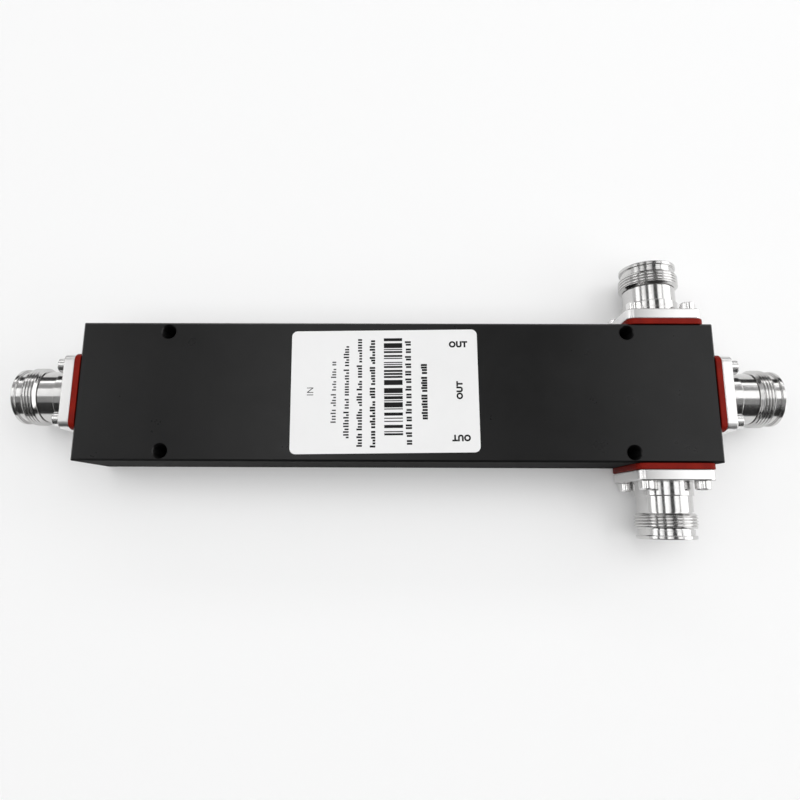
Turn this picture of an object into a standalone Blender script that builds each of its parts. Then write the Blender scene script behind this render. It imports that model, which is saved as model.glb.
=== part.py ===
# Three-way coaxial power splitter: a bored aluminium bar with one input socket and three
# output sockets, each on a square flange with a red silicone gasket and four cap screws.
# Units are metres. The bar lies on its back, label face up along +Z. +X runs from the
# input to the far output, and the origin is under the middle of the bar.

import math

import bmesh
import bpy
from mathutils import Matrix, Vector

# Clearance kept between pieces that touch on the real object
SEAT_GAP = 0.0003
# How far a cutter runs past the face that it opens
CUT_OVERRUN = 0.001

# Bar
BAR_LENGTH = 0.2110
BAR_WIDTH = 0.0465
BAR_HEIGHT = 0.0260
BAR_EDGE = 0.0004
LINE_BORE_RADIUS = 0.0090
OUTLET_INSET = 0.0152  # from the bar's output end to the axis of the two side outputs
MOUNT_HOLE_RADIUS = 0.00225
MOUNT_HOLE_CHAMFER = 0.0003
MOUNT_HOLE_END_INSET = 0.0289
MOUNT_HOLE_SIDE_INSET = 0.0032

# Label
LABEL_LENGTH = 0.0617
LABEL_WIDTH = 0.0412
LABEL_THICKNESS = 0.00015
LABEL_CORNER = 0.0019
LABEL_SHIFT = -0.0040
LABEL_TILT = math.radians(0.8)  # stuck on by hand, not quite square

# Flange and gasket of each socket
FLANGE_SIZE = 0.0254
FLANGE_THICKNESS = 0.0036
FLANGE_CORNER = 0.0019
FLANGE_EDGE = 0.0003
GASKET_SPACE = 0.0020  # from the bar's face to the back of the flange
GASKET_CORNER = 0.0026
GASKET_RIM = 0.0003  # how far the insulator's collar overlaps the gasket

# Turned barrel of each socket, from the flange out to the mating end
FOOT_RADIUS = 0.0094
FOOT_LENGTH = 0.0046
FOOT_CHAMFER = 0.0002
NECK_RADIUS = 0.0089
NECK_LENGTH = 0.0057
THREAD_RADIUS = 0.0100
THREAD_LENGTH = 0.0049
THREAD_CHAMFER = 0.0008
GROOVE_RADIUS = 0.00895
GROOVE_LENGTH = 0.0023
RIM_RADIUS = 0.00955
RIM_LENGTH = 0.0012
RIM_CHAMFER = 0.0003

# Hollow of each socket, from the mating end inwards
MOUTH_RADIUS = 0.0079
MOUTH_DEPTH = 0.0103
MOUTH_LEAD_IN = 0.0006
COAX_BORE_RADIUS = 0.0050
COLLAR_POCKET_RADIUS = 0.0060
COLLAR_POCKET_DEPTH = 0.0030

# Insulator and centre contact
INSULATOR_RECESS = 0.0008  # its front face lies below the floor of the mouth
INSULATOR_EDGE = 0.0002
CONTACT_RADIUS = 0.00215
CONTACT_RECESS = 0.0048  # from the mating end to the tip
CONTACT_NECK_RADIUS = 0.0015
CONTACT_HOLE_RADIUS = 0.00125
CONTACT_HOLE_DEPTH = 0.0050
CONTACT_TIP_CHAMFER = 0.0004
CONTACT_SLOT_WIDTH = 0.0005
CONTACT_SLOT_DEPTH = 0.0042
PIN_RADIUS = 0.0012
PIN_LENGTH = 0.0040

# Cap screws
SCREW_INSET = 0.00355  # from the flange's edges
SCREW_RADIUS = 0.0015
SCREW_LENGTH = 0.0120
SCREW_HEAD_RADIUS = 0.0025
SCREW_HEAD_HEIGHT = 0.0029
SCREW_HEAD_CHAMFER = 0.0003
SCREW_KEY_SIZE = 0.0025  # across the flats of the hexagon socket
SCREW_KEY_DEPTH = 0.0014
SCREW_HOLE_SPARE = 0.0012  # drilled past the tip of the screw

# Inner line: a stepped rod, its two support beads and the junction of the outputs
ROD_SETBACK = 0.0010  # from the bar's input end
ROD_FIRST_RADIUS = 0.0039
ROD_LAST_RADIUS = 0.0064
ROD_STEPS = 5
ROD_TENON_RADIUS = 0.0025
JUNCTION_RADIUS = 0.0068
JUNCTION_LENGTH = 0.0130
JUNCTION_EDGE = 0.0005
BORE_END_SPACE = 0.0022  # between the junction and the step of the line bore
BEAD_THICKNESS = 0.0040
BEAD_GROOVE_DEPTH = 0.0009

# Fineness of the round forms, and the angle past which an edge stays sharp
SHELL_SIDES = 28
BORE_SIDES = 24
INNER_SIDES = 16
SMALL_SIDES = 12
CORNER_STEPS = 3
SMOOTH_ANGLE = math.radians(30)
MERGE_DISTANCE = 1e-7
SMALLEST_RADIUS = 0.0001  # left on a corner whose edge chamfer takes up its radius

# Sizes that follow from the ones above
AXIS_HEIGHT = BAR_HEIGHT / 2
OUTLET_X = BAR_LENGTH / 2 - OUTLET_INSET
FLANGE_TOP = GASKET_SPACE + FLANGE_THICKNESS
FOOT_END = FLANGE_TOP + FOOT_LENGTH
THREAD_START = FOOT_END + NECK_LENGTH
THREAD_END = THREAD_START + THREAD_LENGTH
RIM_START = THREAD_END + GROOVE_LENGTH
MATING_END = RIM_START + RIM_LENGTH
MOUTH_FLOOR = MATING_END - MOUTH_DEPTH
SCREW_OFFSET = FLANGE_SIZE / 2 - SCREW_INSET
SCREW_HOLE_RADIUS = SCREW_RADIUS + SEAT_GAP
SCREW_REACH = SCREW_LENGTH - FLANGE_TOP - SEAT_GAP  # how deep the tip lies in the bar
COLLAR_RADIUS = COLLAR_POCKET_RADIUS - SEAT_GAP
PIN_HOLE_RADIUS = PIN_RADIUS + SEAT_GAP
PIN_HOLE_DEPTH = PIN_LENGTH + SEAT_GAP


def clear_scene():
    for item in list(bpy.data.objects):
        bpy.data.objects.remove(item, do_unlink=True)


def make_material(name, colour, roughness, metallic):
    material = bpy.data.materials.new(name)
    material.use_nodes = True
    shader = material.node_tree.nodes["Principled BSDF"]
    shader.inputs["Base Color"].default_value = (*colour, 1.0)
    shader.inputs["Roughness"].default_value = roughness
    shader.inputs["Metallic"].default_value = metallic
    return material


def black_paint():
    return make_material("black_paint", (0.022, 0.022, 0.023), 0.45, 0.0)


def label_film():
    return make_material("label_film", (0.86, 0.86, 0.86), 0.4, 0.0)


def red_silicone():
    return make_material("red_silicone", (0.30, 0.018, 0.012), 0.55, 0.0)


def bright_plating():
    return make_material("bright_plating", (0.78, 0.77, 0.75), 0.16, 1.0)


def white_ptfe():
    return make_material("white_ptfe", (0.82, 0.82, 0.80), 0.5, 0.0)


def silver_plating():
    return make_material("silver_plating", (0.84, 0.82, 0.78), 0.22, 1.0)


def screw_steel():
    return make_material("screw_steel", (0.66, 0.66, 0.65), 0.26, 1.0)


def finish_object(name, bm, material=None):
    """Turn a bmesh into a named object with one material, shaded smooth."""
    bmesh.ops.recalc_face_normals(bm, faces=bm.faces)
    mesh = bpy.data.meshes.new(name)
    bm.to_mesh(mesh)
    bm.free()
    item = bpy.data.objects.new(name, mesh)
    bpy.context.collection.objects.link(item)
    if material:
        mesh.materials.append(material)
    mesh.shade_smooth()
    mesh.set_sharp_from_angle(angle=SMOOTH_ANGLE)
    return item


def turn(bm, profile, sides, place=Matrix(), closed=False):
    """Spin (radius, height) points about Z; a closed profile makes a ring."""
    verts = [bm.verts.new((radius, 0, height)) for radius, height in profile]
    pairs = list(zip(verts, verts[1:]))
    if closed:
        pairs.append((verts[-1], verts[0]))
    edges = [bm.edges.new(pair) for pair in pairs]
    before = set(bm.verts) - set(verts)
    bmesh.ops.spin(bm, geom=verts + edges, cent=(0, 0, 0), axis=(0, 0, 1),
                   angle=math.tau, steps=sides, use_merge=True)
    made = [vert for vert in bm.verts if vert not in before]
    bmesh.ops.remove_doubles(bm, verts=made, dist=MERGE_DISTANCE)
    made = [vert for vert in bm.verts if vert not in before]
    bmesh.ops.transform(bm, matrix=place, verts=made)


def rounded_outline(length, width, radius, inset, steps):
    """Points of a rectangle with round corners, drawn in by inset."""
    radius = max(radius - inset, SMALLEST_RADIUS)
    corner_x = length / 2 - inset - radius
    corner_y = width / 2 - inset - radius
    points = []
    for quarter, (sign_x, sign_y) in enumerate(((1, 1), (-1, 1), (-1, -1), (1, -1))):
        for step in range(steps + 1):
            angle = (quarter + step / steps) * math.pi / 2
            points.append((sign_x * corner_x + radius * math.cos(angle),
                           sign_y * corner_y + radius * math.sin(angle)))
    return points


def plate(bm, length, width, radius, bottom, top, edge, steps):
    """Flat plate with round corners and an edge chamfer on both faces."""
    levels = ((edge, bottom), (0, bottom + edge), (0, top - edge), (edge, top))
    if not edge:
        levels = ((0, bottom), (0, top))
    rings = []
    for inset, height in levels:
        outline = rounded_outline(length, width, radius, inset, steps)
        rings.append([bm.verts.new((x, y, height)) for x, y in outline])
    for lower, upper in zip(rings, rings[1:]):
        for index in range(len(lower)):
            following = (index + 1) % len(lower)
            bm.faces.new((lower[index], lower[following], upper[following], upper[index]))
    bm.faces.new(reversed(rings[0]))
    bm.faces.new(rings[-1])


def add_boolean(item, tool, operation="DIFFERENCE"):
    """Cut or join with a tool object that is left out of the part."""
    tool.hide_render = True
    tool.display_type = "WIRE"
    boolean = item.modifiers.new(tool.name, "BOOLEAN")
    boolean.operation = operation
    boolean.solver = "EXACT"
    boolean.object = tool


def settle(item):
    """Evaluate a template's modifiers into a mesh that its copies share."""
    graph = bpy.context.evaluated_depsgraph_get()
    mesh = bpy.data.meshes.new_from_object(item.evaluated_get(graph))
    mesh.name = item.name
    mesh.shade_smooth()
    mesh.set_sharp_from_angle(angle=SMOOTH_ANGLE)
    tools = [modifier.object for modifier in item.modifiers]
    for old in [item, *tools]:
        bpy.data.objects.remove(old, do_unlink=True)
    return mesh


def place_copy(name, mesh, parent, place=Matrix()):
    item = bpy.data.objects.new(name, mesh)
    bpy.context.collection.objects.link(item)
    item.parent = parent
    item.matrix_basis = place
    return item


def corner_places(offset, height=0.0):
    """Places of the four screws of a flange, in the socket's own frame."""
    corners = ((1, 1), (-1, 1), (-1, -1), (1, -1))
    return [Matrix.Translation((x * offset, y * offset, height)) for x, y in corners]


def port_table():
    """Name, centre on the bar's face, outward direction and depth of the inner line."""
    end = BAR_LENGTH / 2
    side = BAR_WIDTH / 2
    end_depth = OUTLET_INSET - JUNCTION_LENGTH / 2
    side_depth = side - JUNCTION_RADIUS
    return (
        ("input", Vector((-end, 0, AXIS_HEIGHT)), Vector((-1, 0, 0)), ROD_SETBACK),
        ("output_end", Vector((end, 0, AXIS_HEIGHT)), Vector((1, 0, 0)), end_depth),
        ("output_left", Vector((OUTLET_X, side, AXIS_HEIGHT)), Vector((0, 1, 0)), side_depth),
        ("output_right", Vector((OUTLET_X, -side, AXIS_HEIGHT)), Vector((0, -1, 0)), side_depth),
    )


def port_place(centre, direction):
    """Socket frame: Z points out of the bar, Y is upright."""
    return Matrix.Translation(centre) @ direction.to_track_quat("Z", "Y").to_matrix().to_4x4()


def line_bore_tool():
    """Wide bore of the inner line, which narrows before the far output."""
    start = -BAR_LENGTH / 2 - CUT_OVERRUN
    step = OUTLET_X + JUNCTION_LENGTH / 2 + BORE_END_SPACE
    end = BAR_LENGTH / 2 + CUT_OVERRUN
    profile = ((0, start), (LINE_BORE_RADIUS, start), (LINE_BORE_RADIUS, step),
               (COAX_BORE_RADIUS, step), (COAX_BORE_RADIUS, end), (0, end))
    bm = bmesh.new()
    turn(bm, profile, BORE_SIDES, port_place((0, 0, AXIS_HEIGHT), Vector((1, 0, 0))))
    return finish_object("line_bore_tool", bm)


def side_bore_tool():
    """Cross bore of the two side outputs."""
    reach = BAR_WIDTH / 2 + CUT_OVERRUN
    profile = ((0, -reach), (COAX_BORE_RADIUS, -reach), (COAX_BORE_RADIUS, reach), (0, reach))
    bm = bmesh.new()
    turn(bm, profile, BORE_SIDES, port_place((OUTLET_X, 0, AXIS_HEIGHT), Vector((0, 1, 0))))
    return finish_object("side_bore_tool", bm)


def drilling_tool():
    """Four through holes that fix the bar, and the blind holes of the flange screws."""
    bm = bmesh.new()
    wide = MOUNT_HOLE_RADIUS + MOUNT_HOLE_CHAMFER
    through = ((0, -CUT_OVERRUN), (wide, -CUT_OVERRUN), (wide, 0),
               (MOUNT_HOLE_RADIUS, MOUNT_HOLE_CHAMFER),
               (MOUNT_HOLE_RADIUS, BAR_HEIGHT - MOUNT_HOLE_CHAMFER),
               (wide, BAR_HEIGHT), (wide, BAR_HEIGHT + CUT_OVERRUN), (0, BAR_HEIGHT + CUT_OVERRUN))
    hole_x = BAR_LENGTH / 2 - MOUNT_HOLE_END_INSET
    hole_y = BAR_WIDTH / 2 - MOUNT_HOLE_SIDE_INSET
    for sign_x, sign_y in ((1, 1), (-1, 1), (-1, -1), (1, -1)):
        turn(bm, through, INNER_SIDES, Matrix.Translation((sign_x * hole_x, sign_y * hole_y, 0)))
    depth = SCREW_REACH + SCREW_HOLE_SPARE
    blind = ((0, -depth), (SCREW_HOLE_RADIUS, -depth), (SCREW_HOLE_RADIUS, CUT_OVERRUN),
             (0, CUT_OVERRUN))
    for _, centre, direction, _ in port_table():
        for corner in corner_places(SCREW_OFFSET):
            turn(bm, blind, SMALL_SIDES, port_place(centre, direction) @ corner)
    return finish_object("drilling_tool", bm)


def build_bar(material):
    bm = bmesh.new()
    plate(bm, BAR_LENGTH, BAR_WIDTH, BAR_EDGE, 0, BAR_HEIGHT, BAR_EDGE, 1)
    bar = finish_object("housing_bar", bm, material)
    for tool in (line_bore_tool(), side_bore_tool(), drilling_tool()):
        add_boolean(bar, tool)


def build_label(material):
    bottom = BAR_HEIGHT + SEAT_GAP
    bm = bmesh.new()
    plate(bm, LABEL_LENGTH, LABEL_WIDTH, LABEL_CORNER, 0, LABEL_THICKNESS, 0, CORNER_STEPS)
    label = finish_object("label", bm, material)
    label.location = (LABEL_SHIFT, 0, bottom)
    label.rotation_euler = (0, 0, LABEL_TILT)


def flange_hole_tool(name, centre_profile, centre_sides):
    """The centre opening of a flange or gasket, with its four screw holes."""
    bm = bmesh.new()
    turn(bm, centre_profile, centre_sides)
    high = FLANGE_TOP + CUT_OVERRUN
    hole = ((0, -CUT_OVERRUN), (SCREW_HOLE_RADIUS, -CUT_OVERRUN), (SCREW_HOLE_RADIUS, high),
            (0, high))
    for corner in corner_places(SCREW_OFFSET):
        turn(bm, hole, SMALL_SIDES, corner)
    return finish_object(name, bm)


def gasket_mesh(material):
    opening = COLLAR_RADIUS - GASKET_RIM
    profile = ((0, -CUT_OVERRUN), (opening, -CUT_OVERRUN), (opening, FLANGE_TOP), (0, FLANGE_TOP))
    bm = bmesh.new()
    plate(bm, FLANGE_SIZE, FLANGE_SIZE, GASKET_CORNER, SEAT_GAP, GASKET_SPACE - SEAT_GAP, 0,
          CORNER_STEPS)
    gasket = finish_object("gasket", bm, material)
    add_boolean(gasket, flange_hole_tool("gasket_holes", profile, INNER_SIDES))
    return settle(gasket)


def barrel_profile():
    """Outside of the turned barrel, from inside the flange to the mating end."""
    root = GASKET_SPACE + FLANGE_THICKNESS / 2
    mouth_edge = MOUTH_RADIUS + MOUTH_LEAD_IN
    return (
        (0, root),
        (FOOT_RADIUS, root),
        (FOOT_RADIUS, FOOT_END - FOOT_CHAMFER),
        (FOOT_RADIUS - FOOT_CHAMFER, FOOT_END),
        (NECK_RADIUS, FOOT_END),
        (NECK_RADIUS, THREAD_START),
        (THREAD_RADIUS - THREAD_CHAMFER, THREAD_START),
        (THREAD_RADIUS, THREAD_START + THREAD_CHAMFER),
        (THREAD_RADIUS, THREAD_END - THREAD_CHAMFER),
        (THREAD_RADIUS - THREAD_CHAMFER, THREAD_END),
        (GROOVE_RADIUS, THREAD_END),
        (GROOVE_RADIUS, RIM_START),
        (RIM_RADIUS, RIM_START),
        (RIM_RADIUS, MATING_END - RIM_CHAMFER),
        (RIM_RADIUS - RIM_CHAMFER, MATING_END),
        (mouth_edge, MATING_END),
        (MOUTH_RADIUS, MATING_END - MOUTH_LEAD_IN),
        (MOUTH_RADIUS, MOUTH_FLOOR),
        (0, MOUTH_FLOOR),
    )


def shell_mesh(material):
    """Flange and barrel in one piece, bored from both ends."""
    bm = bmesh.new()
    plate(bm, FLANGE_SIZE, FLANGE_SIZE, FLANGE_CORNER, GASKET_SPACE, FLANGE_TOP, FLANGE_EDGE,
          CORNER_STEPS)
    shell = finish_object("socket_shell", bm, material)
    bm = bmesh.new()
    turn(bm, barrel_profile(), SHELL_SIDES)
    add_boolean(shell, finish_object("barrel", bm), "UNION")
    pocket = GASKET_SPACE + COLLAR_POCKET_DEPTH
    above = MOUTH_FLOOR + CUT_OVERRUN
    bore = ((0, -CUT_OVERRUN), (COLLAR_POCKET_RADIUS, -CUT_OVERRUN),
            (COLLAR_POCKET_RADIUS, pocket), (COAX_BORE_RADIUS, pocket),
            (COAX_BORE_RADIUS, above), (0, above))
    add_boolean(shell, flange_hole_tool("shell_holes", bore, SHELL_SIDES))
    return settle(shell)


def insulator_mesh(material):
    """Ring of PTFE with a collar that is trapped behind the flange."""
    back = GASKET_SPACE + SEAT_GAP
    collar = GASKET_SPACE + COLLAR_POCKET_DEPTH - SEAT_GAP
    front = MOUTH_FLOOR - INSULATOR_RECESS
    body = COAX_BORE_RADIUS - SEAT_GAP
    hole = CONTACT_NECK_RADIUS + SEAT_GAP
    profile = ((hole, back), (COLLAR_RADIUS, back), (COLLAR_RADIUS, collar), (body, collar),
               (body, front - INSULATOR_EDGE), (body - INSULATOR_EDGE, front), (hole, front))
    bm = bmesh.new()
    turn(bm, profile, INNER_SIDES, closed=True)
    return settle(finish_object("insulator", bm, material))


def slot_tool(tip):
    """Two crossed saw cuts that part the contact's mouth into four springs."""
    bm = bmesh.new()
    reach = CONTACT_RADIUS + CUT_OVERRUN
    height = CONTACT_SLOT_DEPTH + CUT_OVERRUN
    for size in ((2 * reach, CONTACT_SLOT_WIDTH), (CONTACT_SLOT_WIDTH, 2 * reach)):
        middle = Matrix.Translation((0, 0, tip + CUT_OVERRUN - height / 2))
        bmesh.ops.create_cube(bm, size=1, matrix=middle @ Matrix.Diagonal((*size, height, 1)))
    return finish_object("slot_tool", bm)


def contact_mesh(material, depth):
    """Slotted socket contact, its neck in the insulator and its pin in the inner line."""
    tip = MATING_END - CONTACT_RECESS
    shoulder = SEAT_GAP - depth
    back = GASKET_SPACE
    front = MOUTH_FLOOR - INSULATOR_RECESS + SEAT_GAP
    hole_floor = tip - CONTACT_HOLE_DEPTH
    profile = ((0, -depth - PIN_LENGTH), (PIN_RADIUS, -depth - PIN_LENGTH), (PIN_RADIUS, shoulder),
               (CONTACT_RADIUS, shoulder), (CONTACT_RADIUS, back),
               (CONTACT_NECK_RADIUS, back), (CONTACT_NECK_RADIUS, front),
               (CONTACT_RADIUS, front), (CONTACT_RADIUS, tip - CONTACT_TIP_CHAMFER),
               (CONTACT_RADIUS - CONTACT_TIP_CHAMFER, tip), (CONTACT_HOLE_RADIUS, tip),
               (CONTACT_HOLE_RADIUS, hole_floor), (0, hole_floor))
    bm = bmesh.new()
    turn(bm, profile, SMALL_SIDES)
    contact = finish_object("contact", bm, material)
    add_boolean(contact, slot_tool(tip))
    return settle(contact)


def screw_mesh(material):
    """Cap screw with a hexagon socket; its origin is under the head."""
    tip = SEAT_GAP - SCREW_LENGTH
    chamfer = SCREW_HEAD_HEIGHT - SCREW_HEAD_CHAMFER
    profile = ((0, tip), (SCREW_RADIUS, tip), (SCREW_RADIUS, 0), (SCREW_HEAD_RADIUS, 0),
               (SCREW_HEAD_RADIUS, chamfer),
               (SCREW_HEAD_RADIUS - SCREW_HEAD_CHAMFER, SCREW_HEAD_HEIGHT),
               (0, SCREW_HEAD_HEIGHT))
    bm = bmesh.new()
    turn(bm, profile, SMALL_SIDES)
    screw = finish_object("screw", bm, material)
    key_radius = SCREW_KEY_SIZE / 2 / math.cos(math.pi / 6)
    floor = SCREW_HEAD_HEIGHT - SCREW_KEY_DEPTH
    above = SCREW_HEAD_HEIGHT + CUT_OVERRUN
    bm = bmesh.new()
    turn(bm, ((0, floor), (key_radius, floor), (key_radius, above), (0, above)), 6)
    add_boolean(screw, finish_object("key_tool", bm))
    return settle(screw)


def rod_radius(step):
    """Radii of the steps grow by an equal ratio, as the impedances do."""
    return ROD_FIRST_RADIUS * (ROD_LAST_RADIUS / ROD_FIRST_RADIUS) ** (step / (ROD_STEPS - 1))


def rod_span():
    start = -BAR_LENGTH / 2 + ROD_SETBACK
    end = OUTLET_X - JUNCTION_LENGTH / 2 - SEAT_GAP
    return start, end


def bead_places():
    """Middle of each groove, with the radius of the step that it is cut in."""
    start, end = rod_span()
    step_length = (end - start) / ROD_STEPS
    return [(start + (step + 0.5) * step_length, rod_radius(step)) for step in (1, ROD_STEPS - 2)]


def build_rod(material):
    """Stepped inner conductor with a blind hole, two grooves and a tenon."""
    start, end = rod_span()
    step_length = (end - start) / ROD_STEPS
    half_groove = BEAD_THICKNESS / 2 + SEAT_GAP
    grooves = bead_places()
    profile = [(0, start + PIN_HOLE_DEPTH), (PIN_HOLE_RADIUS, start + PIN_HOLE_DEPTH),
               (PIN_HOLE_RADIUS, start)]
    for step in range(ROD_STEPS):
        radius = rod_radius(step)
        profile.append((radius, start + step * step_length))
        for middle, groove_step_radius in grooves:
            if groove_step_radius == radius:
                floor = radius - BEAD_GROOVE_DEPTH
                profile += [(radius, middle - half_groove), (floor, middle - half_groove),
                            (floor, middle + half_groove), (radius, middle + half_groove)]
        profile.append((radius, start + (step + 1) * step_length))
    tenon_end = end + PIN_LENGTH
    profile += [(ROD_TENON_RADIUS, end), (ROD_TENON_RADIUS, tenon_end), (0, tenon_end)]
    bm = bmesh.new()
    turn(bm, profile, INNER_SIDES, port_place((0, 0, AXIS_HEIGHT), Vector((1, 0, 0))))
    finish_object("inner_conductor", bm, material)


def build_beads(material):
    """PTFE rings that hold the rod in the middle of the bore."""
    for number, (middle, radius) in enumerate(bead_places(), 1):
        inside = radius - BEAD_GROOVE_DEPTH + SEAT_GAP
        outside = LINE_BORE_RADIUS - SEAT_GAP
        half = BEAD_THICKNESS / 2
        profile = ((inside, -half), (outside, -half), (outside, half), (inside, half))
        bm = bmesh.new()
        turn(bm, profile, INNER_SIDES, port_place((middle, 0, AXIS_HEIGHT), Vector((1, 0, 0))),
             closed=True)
        finish_object(f"support_bead_{number}", bm, material)


def build_junction(material):
    """Brass block where the rod's tenon and the three output pins meet."""
    half = JUNCTION_LENGTH / 2
    edge = JUNCTION_RADIUS - JUNCTION_EDGE
    tenon_hole = ROD_TENON_RADIUS + SEAT_GAP
    profile = ((0, -half + PIN_HOLE_DEPTH), (tenon_hole, -half + PIN_HOLE_DEPTH),
               (tenon_hole, -half), (edge, -half), (JUNCTION_RADIUS, -half + JUNCTION_EDGE),
               (JUNCTION_RADIUS, half - JUNCTION_EDGE), (edge, half), (PIN_HOLE_RADIUS, half),
               (PIN_HOLE_RADIUS, half - PIN_HOLE_DEPTH), (0, half - PIN_HOLE_DEPTH))
    centre = (OUTLET_X, 0, AXIS_HEIGHT)
    bm = bmesh.new()
    turn(bm, profile, INNER_SIDES, port_place(centre, Vector((1, 0, 0))))
    junction = finish_object("junction_block", bm, material)
    floor = JUNCTION_RADIUS - PIN_HOLE_DEPTH
    above = JUNCTION_RADIUS + CUT_OVERRUN
    bm = bmesh.new()
    for side in (1, -1):
        turn(bm, ((0, floor), (PIN_HOLE_RADIUS, floor), (PIN_HOLE_RADIUS, above), (0, above)),
             SMALL_SIDES, port_place(centre, Vector((0, side, 0))))
    add_boolean(junction, finish_object("pin_hole_tool", bm))


def build_ports(plating, silicone, ptfe, silver, steel):
    """Gasket, shell, insulator, contact and four screws of each socket."""
    gasket = gasket_mesh(silicone)
    shell = shell_mesh(plating)
    insulator = insulator_mesh(ptfe)
    screw = screw_mesh(steel)
    for name, centre, direction, depth in port_table():
        port = bpy.data.objects.new(f"{name}_port", None)
        bpy.context.collection.objects.link(port)
        port.matrix_basis = port_place(centre, direction)
        place_copy(f"{name}_gasket", gasket, port)
        place_copy(f"{name}_socket_shell", shell, port)
        place_copy(f"{name}_insulator", insulator, port)
        place_copy(f"{name}_contact", contact_mesh(silver, depth), port)
        for number, corner in enumerate(corner_places(SCREW_OFFSET, FLANGE_TOP + SEAT_GAP), 1):
            place_copy(f"{name}_screw_{number}", screw, port, corner)


def main():
    clear_scene()
    build_bar(black_paint())
    build_label(label_film())
    ptfe = white_ptfe()
    silver = silver_plating()
    build_rod(silver)
    build_beads(ptfe)
    build_junction(silver)
    build_ports(bright_plating(), red_silicone(), ptfe, silver, screw_steel())


main()
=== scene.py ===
import math
import random

import bmesh
import bpy
from mathutils import Matrix, Vector


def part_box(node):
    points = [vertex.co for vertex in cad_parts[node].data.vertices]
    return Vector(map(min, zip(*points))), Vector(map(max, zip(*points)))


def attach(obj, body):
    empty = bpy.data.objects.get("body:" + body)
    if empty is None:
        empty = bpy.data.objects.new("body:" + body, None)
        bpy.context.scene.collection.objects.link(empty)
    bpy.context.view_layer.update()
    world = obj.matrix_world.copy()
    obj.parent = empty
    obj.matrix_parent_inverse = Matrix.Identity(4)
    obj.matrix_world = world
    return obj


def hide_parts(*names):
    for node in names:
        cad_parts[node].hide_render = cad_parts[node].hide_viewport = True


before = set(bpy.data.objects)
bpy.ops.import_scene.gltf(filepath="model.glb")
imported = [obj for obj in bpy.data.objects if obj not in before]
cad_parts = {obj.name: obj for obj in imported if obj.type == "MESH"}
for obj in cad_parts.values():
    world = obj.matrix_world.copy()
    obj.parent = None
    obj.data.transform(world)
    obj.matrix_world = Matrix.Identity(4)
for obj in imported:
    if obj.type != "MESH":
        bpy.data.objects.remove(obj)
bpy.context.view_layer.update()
rootBody = "root"  # nothing on the splitter moves
print("Frame loaded:", len(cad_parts), "nodes")

# Directions that the sockets point in, by the names of their nodes
portWays = {
    "input": (-1, 0, 0),
    "output_end": (1, 0, 0),
    "output_left": (0, 1, 0),
    "output_right": (0, -1, 0),
}
barLow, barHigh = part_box("housing_bar")


def portSpan(name):
    # middle of the bar's face behind the socket, the way out, and where the shell starts and ends
    way = Vector(portWays[name])
    low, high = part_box(name + "_socket_shell")
    middle = (low + high) / 2
    face = max(way.dot(barLow), way.dot(barHigh))
    ends = sorted((way.dot(low) - face, way.dot(high) - face))
    return middle + way * (face - middle.dot(way)), way, ends


def portPlace(name):
    centre, way, _ = portSpan(name)
    return Matrix.Translation(centre) @ way.to_track_quat("Z", "Y").to_matrix().to_4x4()


flangeBack, matingEnd = portSpan("input")[2]
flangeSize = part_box("input_socket_shell")[1].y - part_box("input_socket_shell")[0].y
flangeThickness = 0.0036
flangeTop = flangeBack + flangeThickness
flangeEdge = 0.0004  # rounding of its rims


# Sockets, in their own frame: Z runs out of the bar, 0 is the bar's face

socket = {
    "flangeCorner": 0.0026,
    "footRadius": 0.0094,
    "footLength": 0.0046,
    "neckRadius": 0.0089,
    "neckLength": 0.0057,
    "threadRadius": 0.0100,
    "threadLength": 0.0049,
    "threadRunOut": 0.0008,
    "reliefWidth": 0.00035,
    "reliefDepth": 0.00045,
    "threadLead": 0.0008,
    "threadLeadDrop": 0.00046,
    "threadPitch": 0.0010,
    "threadDepth": 0.00050,
    "crestShare": 0.36,
    "rootShare": 0.06,
    "grooveRadius": 0.00895,
    "rimRadius": 0.00955,
    "rimLength": 0.0012,
    "mouthRadius": 0.0079,
    "mouthDepth": 0.0103,
    "leadIn": 0.0006,
    "boreRadius": 0.0050,
    "pocketRadius": 0.0060,
    "pocketDepth": 0.0030,
    "rounding": 0.00015,
    "sides": 144,
    "boreSides": 96,
    "threadRows": 96,
}
footEnd = flangeTop + socket["footLength"]
threadStart = footEnd + socket["neckLength"]
threadEnd = threadStart + socket["threadLength"]
rimStart = matingEnd - socket["rimLength"]
mouthFloor = matingEnd - socket["mouthDepth"]


# Shader helpers

noiseLow, noiseHigh = 0.3, 0.7  # nearly all of a noise texture's values lie between these
millingStretch = (0.12, 0.12, 1.0)  # draws the marks out along the flange's sides


def addNode(tree, kind, inputs=None, **settings):
    node = tree.nodes.new("ShaderNode" + kind)
    for key, value in settings.items():
        setattr(node, key, value)
    for key, value in (inputs or {}).items():
        if isinstance(value, bpy.types.NodeSocket):
            tree.links.new(value, node.inputs[key])
        else:
            node.inputs[key].default_value = value
    return node


def newGroup(name, inputs, outputs):
    group = bpy.data.node_groups.new(name, "ShaderNodeTree")
    for label, value in inputs.items():
        entrySocket = group.interface.new_socket(name=label, in_out="INPUT", socket_type="NodeSocketFloat")
        entrySocket.default_value = value
    for label in outputs:
        group.interface.new_socket(name=label, in_out="OUTPUT", socket_type="NodeSocketFloat")
    return group, group.nodes.new("NodeGroupInput"), group.nodes.new("NodeGroupOutput")


def placeGroup(tree, group, **values):
    node = tree.nodes.new("ShaderNodeGroup")
    node.node_tree = group
    for key, value in values.items():
        node.inputs[key].default_value = value
    return node


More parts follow.
